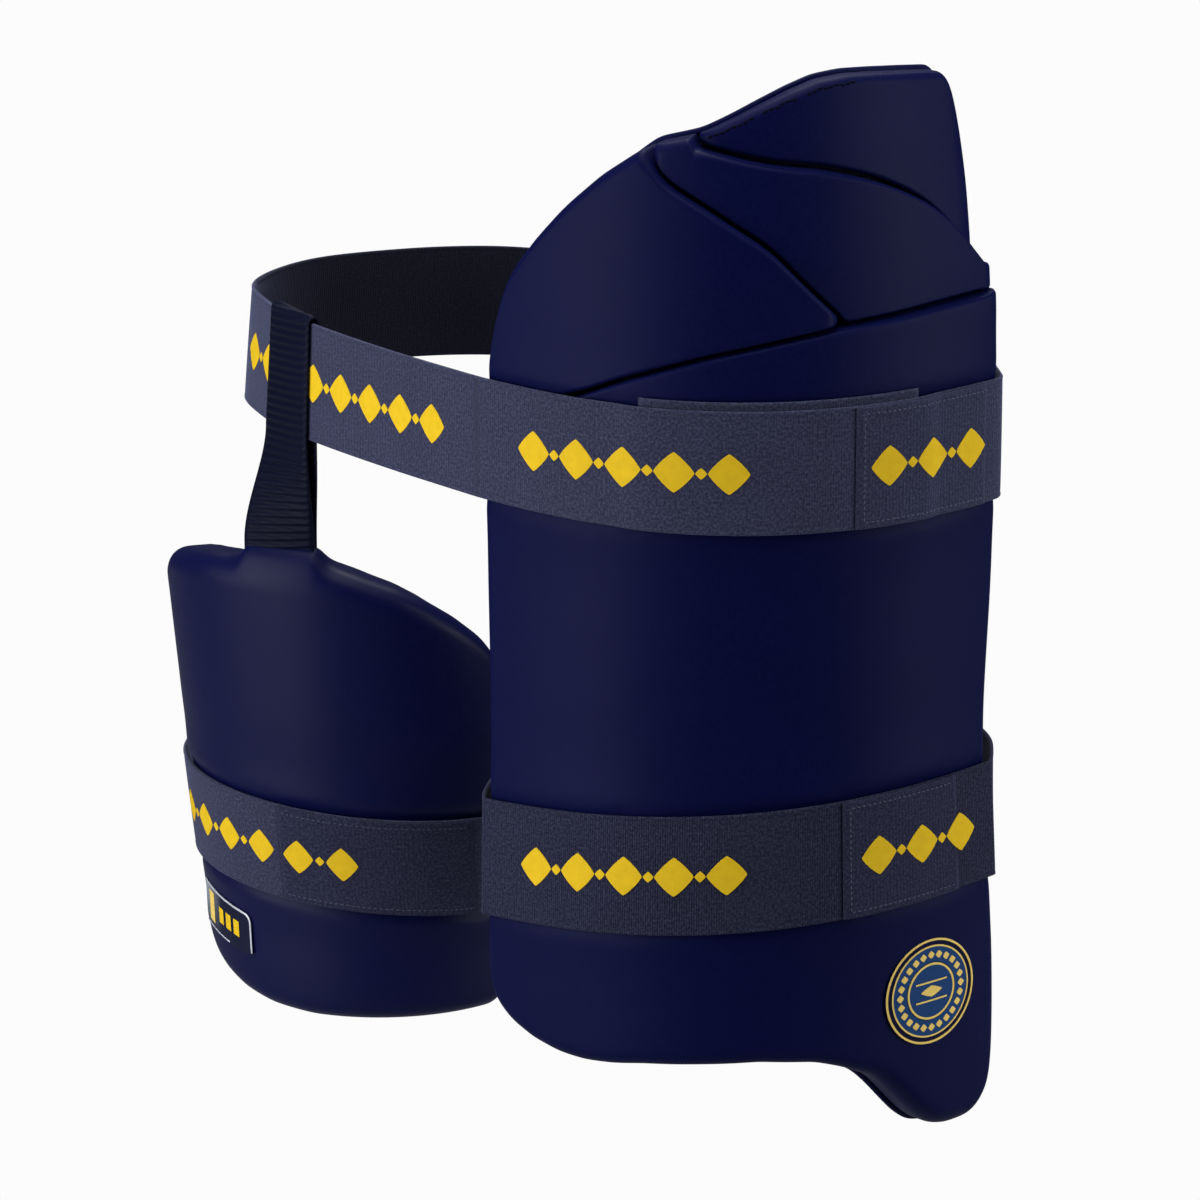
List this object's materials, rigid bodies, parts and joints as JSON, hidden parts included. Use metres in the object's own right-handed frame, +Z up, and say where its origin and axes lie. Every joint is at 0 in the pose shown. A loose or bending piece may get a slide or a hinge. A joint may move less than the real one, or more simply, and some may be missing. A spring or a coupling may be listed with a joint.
{
  "type": "thigh guard",
  "caption": "Padded hip and thigh guard as worn, with an elastic waist belt, an outer pad with a drooping tongue, and a smaller inner thigh pad hung on webbing.",
  "frame": {"origin": "middle of the wearer's waist, at the height of the waist strap's centre line", "axes": "+Z up the standing wearer, +X to the wearer's left, -Y straight ahead of the wearer"},
  "size_m": [0.3987, 0.217, 0.4417],
  "materials": {
    "foam cover": "smooth knit over foam",
    "inner pad cover": "smooth knit over foam",
    "backing cloth": "matte cloth",
    "waist elastic": "woven elastic",
    "thigh elastic": "woven elastic",
    "inner elastic": "woven elastic",
    "hanger webbing": "ribbed webbing",
    "badge": "printed transfer",
    "label": "printed transfer"
  },
  "bodies": {
    "root": {"backing": "backing cloth", "thigh_block": "foam cover", "front_wing": "foam cover", "mid_plate": "foam cover", "hip_plate": "foam cover", "inner_pad": "inner pad cover", "waist_strap": "waist elastic", "waist_under_layer": "waist elastic", "waist_tab": "waist elastic", "thigh_strap": "thigh elastic", "thigh_tab": "thigh elastic", "inner_strap": "inner elastic", "inner_tab": "inner elastic", "hanger": "hanger webbing", "round_badge": "badge", "small_label": "label"}
  },
  "joints": []
}
